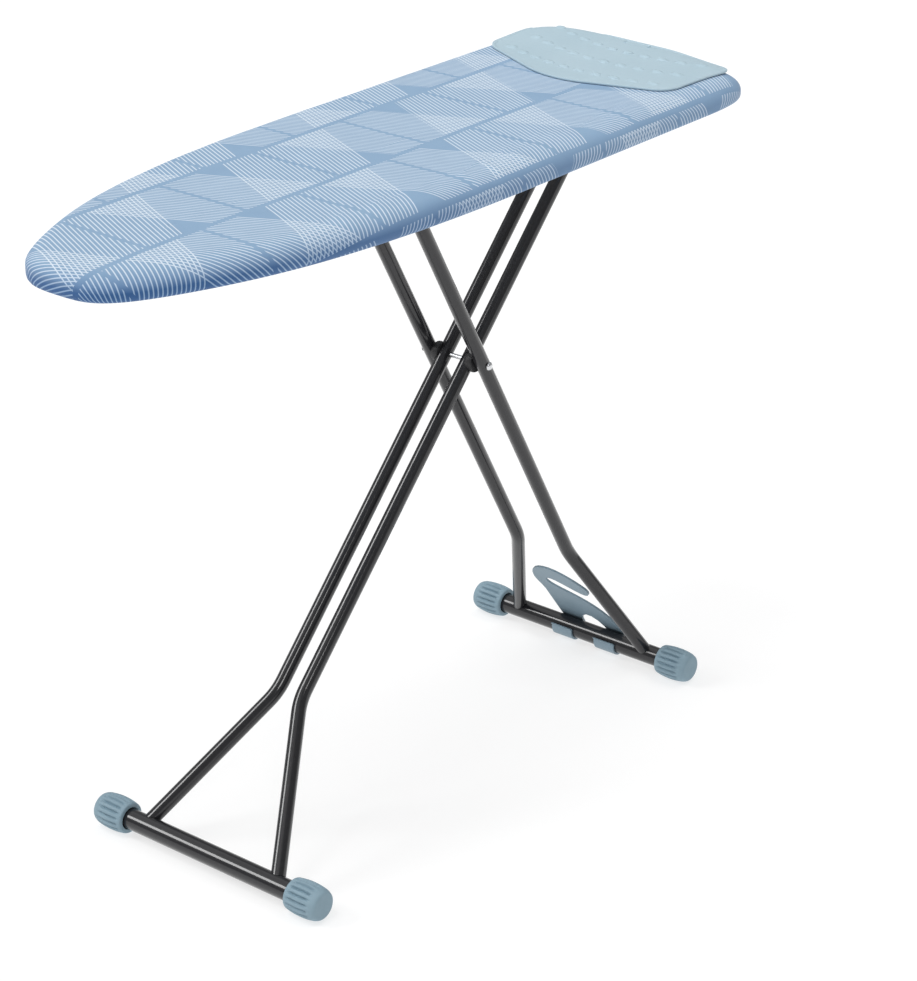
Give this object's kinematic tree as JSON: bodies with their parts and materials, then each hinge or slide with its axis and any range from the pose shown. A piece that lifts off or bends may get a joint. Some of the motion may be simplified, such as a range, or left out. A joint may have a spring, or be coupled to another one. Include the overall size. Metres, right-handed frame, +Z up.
{
  "type": "folding ironing board",
  "caption": "Folding ironing board with a padded printed cover, scissor legs of black tube, ribbed foot caps, silicone iron rest mat and a clip-on hanging hook.",
  "frame": {"origin": "on the floor, under the middle of the standing board", "axes": "+X towards the square end with the iron rest, +Y towards the far side, +Z up"},
  "size_m": [1.1028, 0.372, 0.8493],
  "materials": {
    "cover_cloth": "woven cotton, printed",
    "foam": "felted foam pad",
    "silicone": "satin moulded silicone",
    "grey_steel": "grey coated sheet steel",
    "bright_steel": "zinc plated",
    "black_paint": "gloss black powder coat",
    "black_plastic": "moulded black plastic",
    "blue_rubber": "ribbed blue-grey rubber",
    "blue_plastic": "moulded blue-grey plastic"
  },
  "bodies": {
    "board": {"cover": "cover_cloth", "foam_pad": "foam", "iron_rest_mat": "silicone", "mat_strap": "silicone", "top_panel": "grey_steel", "rim_tube": "grey_steel", "nose_rib": "grey_steel", "middle_rib": "grey_steel", "end_rib": "grey_steel", "guide_rail_near": "grey_steel", "guide_rail_far": "grey_steel", "height_rack": "grey_steel", "pivot_bracket": "grey_steel", "pivot_rod": "bright_steel", "lever_bracket": "grey_steel", "lever_pin": "bright_steel", "lever_spring": "bright_steel", "rod_guide_1": "black_plastic", "rod_guide_2": "black_plastic"},
    "lever": {"release_lever": "grey_steel", "lever_grip": "black_plastic"},
    "push_rod": {"release_rod": "bright_steel"},
    "leg_a": {"leg_a_tube_near": "black_paint", "leg_a_tube_far": "black_paint", "pivot_sleeve": "black_paint", "foot_bar_a": "black_paint", "foot_cap_a_near": "blue_rubber", "foot_cap_a_far": "blue_rubber", "scissor_axle": "bright_steel", "axle_head_near": "bright_steel", "axle_head_far": "bright_steel", "axle_spacer_near": "black_plastic", "axle_spacer_far": "black_plastic"},
    "leg_b": {"leg_b_tube_near": "black_paint", "leg_b_tube_far": "black_paint", "foot_bar_b": "black_paint", "foot_cap_b_near": "blue_rubber", "foot_cap_b_far": "blue_rubber", "crossbar": "black_paint", "roller_near": "black_plastic", "roller_far": "black_plastic"},
    "hanger": {"hanger_hook": "blue_plastic"}
  },
  "joints": [
    {"name": "fold", "type": "hinge", "parent": "board", "child": "leg_a", "pos_m": [0.38811, 0, 0.8], "axis": [0, 1, 0], "range_deg": [0, 46.44]},
    {"name": "scissor", "type": "hinge", "parent": "leg_a", "child": "leg_b", "pos_m": [0.1326, 0, 0.5313], "axis": [0, 1, 0], "range_deg": [-107.17, 0]},
    {"name": "lever_pull", "type": "hinge", "parent": "board", "child": "lever", "pos_m": [0.4106, -0.1, 0.8185], "axis": [0, -1, 0], "range_deg": [0, 6], "stiffness_Nm_per_rad": 0.4, "springref_deg": -11.46},
    {"name": "rod_push", "type": "slide", "parent": "board", "child": "push_rod", "axis": [-1, 0, 0], "range_m": [0, 0.001]},
    {"name": "hook_swing", "type": "hinge", "parent": "leg_b", "child": "hanger", "pos_m": [0.4181, 0, 0.02231], "axis": [0, 1, 0], "range_deg": [0, 187]}
  ],
  "couplings": [
    {"joint": "scissor", "follows": "fold", "ratio": -2.3073},
    {"joint": "rod_push", "follows": "lever_pull", "m_per_rad": 0.0095}
  ]
}
